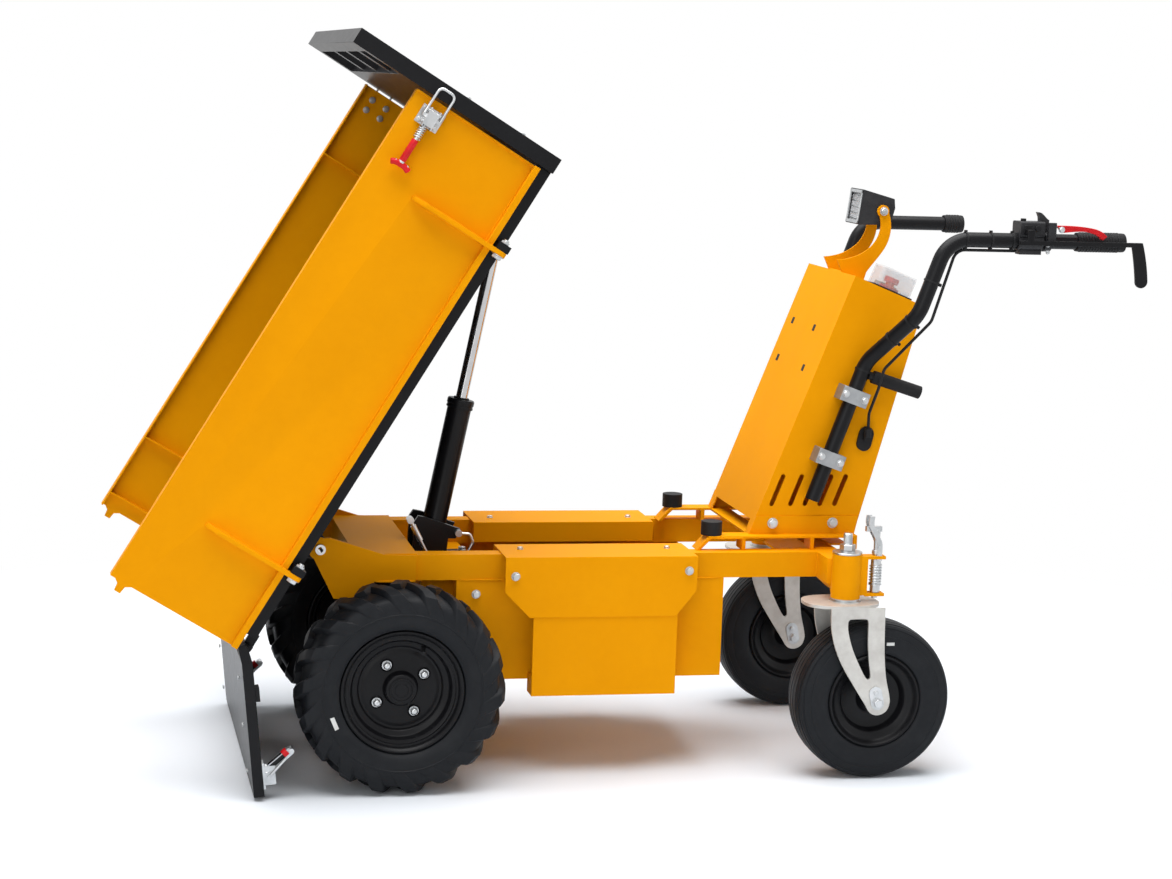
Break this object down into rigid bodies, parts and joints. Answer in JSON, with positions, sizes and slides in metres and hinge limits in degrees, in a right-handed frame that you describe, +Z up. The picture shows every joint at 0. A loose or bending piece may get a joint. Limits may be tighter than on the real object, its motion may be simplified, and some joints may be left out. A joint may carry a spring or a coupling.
{
  "type": "pedestrian tipping dumper",
  "caption": "Battery-driven walk-behind dumper with a hydraulic tipping skip, folding drop sides, hanging tailgate, driven tractor tyres, swivel casters and a raised console with handlebars.",
  "frame": {"origin": "on the ground, in the middle of the machine's length and width", "axes": "+X points to the operator's handles, +Y to the operator's right when facing the bed, +Z up"},
  "size_m": [2.0078, 0.802, 1.4263],
  "materials": {
    "yellow_paint": "satin powder coat",
    "black_paint": "satin powder coat",
    "zinc": "bright zinc plate",
    "steel": "ground steel",
    "tread_rubber": "moulded tread",
    "cast_aluminium": "tumbled casting",
    "lamp_glass": "clear lens",
    "rubber": "matt rubber",
    "grey_case": "moulded case",
    "red_plastic": "moulded plastic",
    "clear": "clear moulded plastic"
  },
  "bodies": {
    "chassis": {"main_frame": "yellow_paint", "console_seat": "yellow_paint", "bump_stops": "rubber", "centre_tub": "yellow_paint", "battery_packs": "grey_case", "power_pack": "grey_case", "side_box_left": "yellow_paint", "side_box_right": "yellow_paint", "cover_left": "yellow_paint", "cover_right": "yellow_paint", "drive_axle": "black_paint", "cylinder_base": "black_paint", "console": "yellow_paint", "handlebar_left": "black_paint", "handlebar_right": "black_paint", "handle_clamps": "cast_aluminium", "swivel_locks": "zinc", "lamp_bracket": "yellow_paint", "work_lamp": "grey_case", "stop_button": "red_plastic", "button_guard": "clear", "socket_cap": "rubber", "grips": "rubber", "control_pod": "grey_case", "brake_lever": "red_plastic", "hand_guard": "black_paint", "control_cable": "rubber", "feed_pipe": "zinc", "return_hose": "zinc", "lamp_lens": "lamp_glass", "pegs": "rubber", "cable_grommet": "rubber"},
    "bed": {"platform": "black_paint", "headboard": "black_paint", "tip_pins": "steel"},
    "side_left": {"side_panel_left": "yellow_paint", "side_latch_left": "zinc"},
    "side_right": {"side_panel_right": "yellow_paint", "side_latch_right": "zinc"},
    "gate": {"tailgate": "black_paint", "gate_latches": "zinc", "gate_bumps": "rubber"},
    "barrel": {"cylinder_barrel": "black_paint"},
    "rod": {"cylinder_rod": "steel"},
    "drive_left": {"drive_tyre_left": "tread_rubber", "drive_rim_left": "black_paint"},
    "drive_right": {"drive_tyre_right": "tread_rubber", "drive_rim_right": "black_paint"},
    "fork_left": {"caster_fork_left": "zinc"},
    "fork_right": {"caster_fork_right": "zinc"},
    "caster_left": {"caster_tyre_left": "tread_rubber", "caster_rim_left": "black_paint"},
    "caster_right": {"caster_tyre_right": "tread_rubber", "caster_rim_right": "black_paint"}
  },
  "joints": [
    {"name": "bed_tip", "type": "hinge", "parent": "chassis", "child": "bed", "pos_m": [-0.60807, 0, 0.448], "axis": [0, 1, 0], "range_deg": [0, 58.8]},
    {"name": "side_left_fold", "type": "hinge", "parent": "bed", "child": "side_left", "pos_m": [-0.49268, -0.388, 0.73118], "axis": [0.518, 0, 0.8554], "range_deg": [0, 180]},
    {"name": "side_right_fold", "type": "hinge", "parent": "bed", "child": "side_right", "pos_m": [-0.49268, 0.388, 0.73118], "axis": [-0.518, 0, -0.8554], "range_deg": [0, 180]},
    {"name": "gate_swing", "type": "hinge", "parent": "bed", "child": "gate", "pos_m": [-0.75244, 0, 0.28876], "axis": [0, 1, 0], "range_deg": [0, 127]},
    {"name": "ram_tilt", "type": "hinge", "parent": "chassis", "child": "barrel", "pos_m": [-0.36307, 0, 0.43], "axis": [0, 1, 0], "range_deg": [0, 77]},
    {"name": "ram_stroke", "type": "slide", "parent": "barrel", "child": "rod", "axis": [0.1906, 0, 0.9817], "range_m": [-0.172, 0]},
    {"name": "drive_left_roll", "type": "hinge", "parent": "chassis", "child": "drive_left", "pos_m": [-0.46307, -0.2985, 0.2], "axis": [0, 1, 0], "continuous": true},
    {"name": "drive_right_roll", "type": "hinge", "parent": "chassis", "child": "drive_right", "pos_m": [-0.46307, 0.2985, 0.2], "axis": [0, 1, 0], "continuous": true},
    {"name": "caster_left_swivel", "type": "hinge", "parent": "chassis", "child": "fork_left", "pos_m": [0.41893, -0.282, 0.35], "axis": [0, 0, 1], "continuous": true},
    {"name": "caster_left_roll", "type": "hinge", "parent": "fork_left", "child": "caster_left", "pos_m": [0.47693, -0.282, 0.158], "axis": [0, 1, 0], "continuous": true},
    {"name": "caster_right_swivel", "type": "hinge", "parent": "chassis", "child": "fork_right", "pos_m": [0.41893, 0.282, 0.35], "axis": [0, 0, 1], "continuous": true},
    {"name": "caster_right_roll", "type": "hinge", "parent": "fork_right", "child": "caster_right", "pos_m": [0.47693, 0.282, 0.158], "axis": [0, 1, 0], "continuous": true}
  ],
  "couplings": [
    {"joint": "ram_tilt", "follows": "bed_tip", "ratio": 1.3057},
    {"joint": "ram_stroke", "follows": "bed_tip", "m_per_rad": -0.16774}
  ]
}
